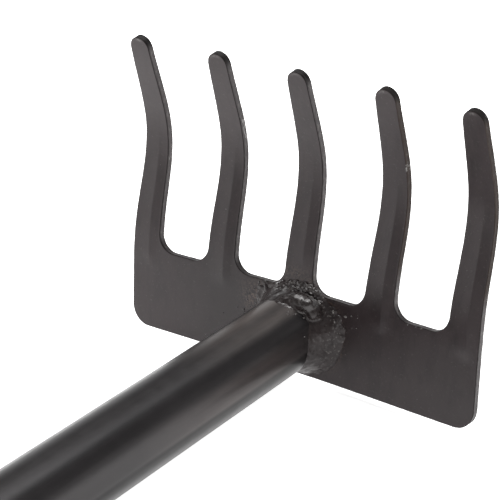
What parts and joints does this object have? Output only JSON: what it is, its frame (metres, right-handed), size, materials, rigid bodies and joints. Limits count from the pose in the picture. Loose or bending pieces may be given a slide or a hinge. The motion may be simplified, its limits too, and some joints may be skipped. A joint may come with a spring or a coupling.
{
  "type": "hand rake",
  "caption": "Short-handled hand rake: a flat stamped steel head with gently curved tines, welded square onto a round steel tube handle with a push-on grip.",
  "frame": {"origin": "where the handle's axis meets the flat middle of the head plate's back face", "axes": "+Y along the handle's axis from the grip towards the head, +Z towards the tine tips, +X across the head"},
  "size_m": [0.1222, 0.3287, 0.0926],
  "materials": {
    "head_paint": "satin black paint over steel sheet, chipped on the cut edges",
    "tube_paint": "satin to semi-gloss black paint",
    "weld_paint": "glossy black paint pooled over a rough weld",
    "grip_vinyl": "matt soft vinyl"
  },
  "bodies": {
    "root": {"rake_head": "head_paint", "handle_tube": "tube_paint", "weld_bead_upper": "weld_paint", "weld_bead_lower": "weld_paint", "handle_grip": "grip_vinyl"}
  },
  "joints": []
}
